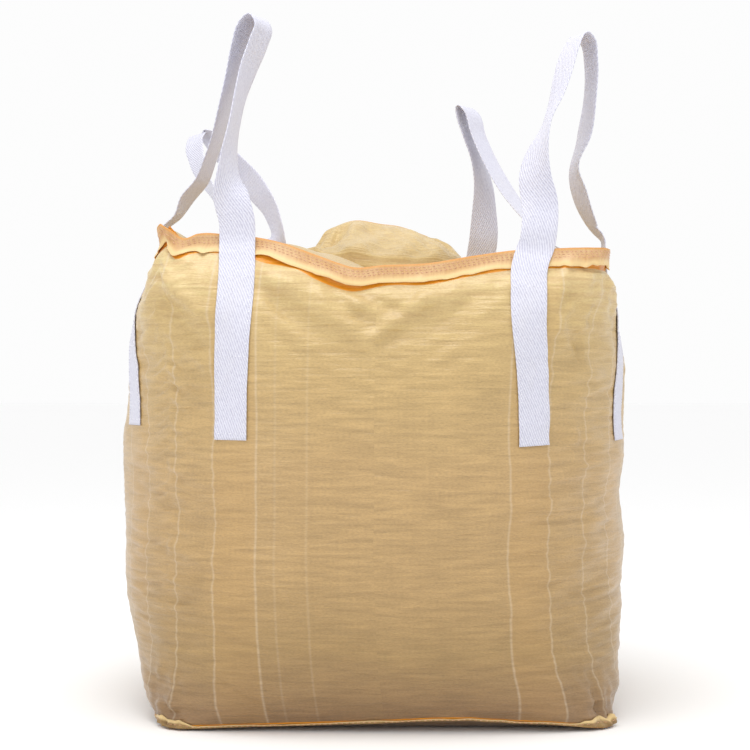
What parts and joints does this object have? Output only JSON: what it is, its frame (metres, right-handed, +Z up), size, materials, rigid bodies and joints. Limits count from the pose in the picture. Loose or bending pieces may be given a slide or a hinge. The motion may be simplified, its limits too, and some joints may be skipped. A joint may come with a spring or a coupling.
{
  "type": "bulk bag",
  "caption": "Full woven bulk bag standing on a square base, with a hemmed top, a collapsed filling spout and cross-corner lifting loops of flat webbing that fold about their feet.",
  "frame": {"origin": "middle of the flat base, on the surface the bag stands on", "axes": "+Z up, +X to the right seen from the front, -Y out of the front"},
  "size_m": [1.0964, 1.1461, 1.4013],
  "materials": {
    "woven_cloth": "woven polypropylene tape cloth, satin",
    "hem_cloth": "folded woven cloth, satin",
    "hem_thread": "twisted sewing thread",
    "webbing": "flat twill webbing, satin",
    "webbing_thread": "twisted sewing thread",
    "granules": "dry granular load, matt"
  },
  "bodies": {
    "bag": {"body_tube": "woven_cloth", "base_panel": "woven_cloth", "top_panel": "woven_cloth", "bulk_fill": "granules", "top_hem": "hem_cloth", "top_hem_stitching": "hem_thread", "base_seam_hem": "hem_cloth", "base_seam_stitching": "hem_thread", "filling_spout": "woven_cloth", "spout_base_seam": "hem_cloth", "front_left_leg_front": "webbing", "front_left_leg_front_stitching": "webbing_thread", "front_left_leg_side": "webbing", "front_left_leg_side_stitching": "webbing_thread", "back_left_leg_back": "webbing", "back_left_leg_back_stitching": "webbing_thread", "back_left_leg_side": "webbing", "back_left_leg_side_stitching": "webbing_thread", "front_right_leg_front": "webbing", "front_right_leg_front_stitching": "webbing_thread", "front_right_leg_side": "webbing", "front_right_leg_side_stitching": "webbing_thread", "back_right_leg_back": "webbing", "back_right_leg_back_stitching": "webbing_thread", "back_right_leg_side": "webbing", "back_right_leg_side_stitching": "webbing_thread"},
    "spout_mouth": {"spout_mouth_hem": "hem_cloth", "spout_mouth_stitching": "hem_thread"},
    "front_left_loop": {"front_left_loop": "webbing"},
    "front_right_loop": {"front_right_loop": "webbing"},
    "back_left_loop": {"back_left_loop": "webbing"},
    "back_right_loop": {"back_right_loop": "webbing"}
  },
  "joints": [
    {"name": "spout_raise", "type": "slide", "parent": "bag", "child": "spout_mouth", "axis": [0, 0, 1], "range_m": [0, 0.3], "deforming": ["filling_spout"]},
    {"name": "front_left_loop_fold", "type": "hinge", "parent": "bag", "child": "front_left_loop", "pos_m": [-0.37007, -0.37007, 0.977], "axis": [0.7071, -0.7071, 0], "range_deg": [-60, 95]},
    {"name": "front_right_loop_fold", "type": "hinge", "parent": "bag", "child": "front_right_loop", "pos_m": [0.37007, -0.37007, 0.957], "axis": [0.7071, 0.7071, 0], "range_deg": [-60, 90]},
    {"name": "back_left_loop_fold", "type": "hinge", "parent": "bag", "child": "back_left_loop", "pos_m": [-0.37007, 0.37007, 0.977], "axis": [-0.7071, -0.7071, 0], "range_deg": [-70, 85]},
    {"name": "back_right_loop_fold", "type": "hinge", "parent": "bag", "child": "back_right_loop", "pos_m": [0.37007, 0.37007, 0.957], "axis": [-0.7071, 0.7071, 0], "range_deg": [-50, 95]}
  ]
}
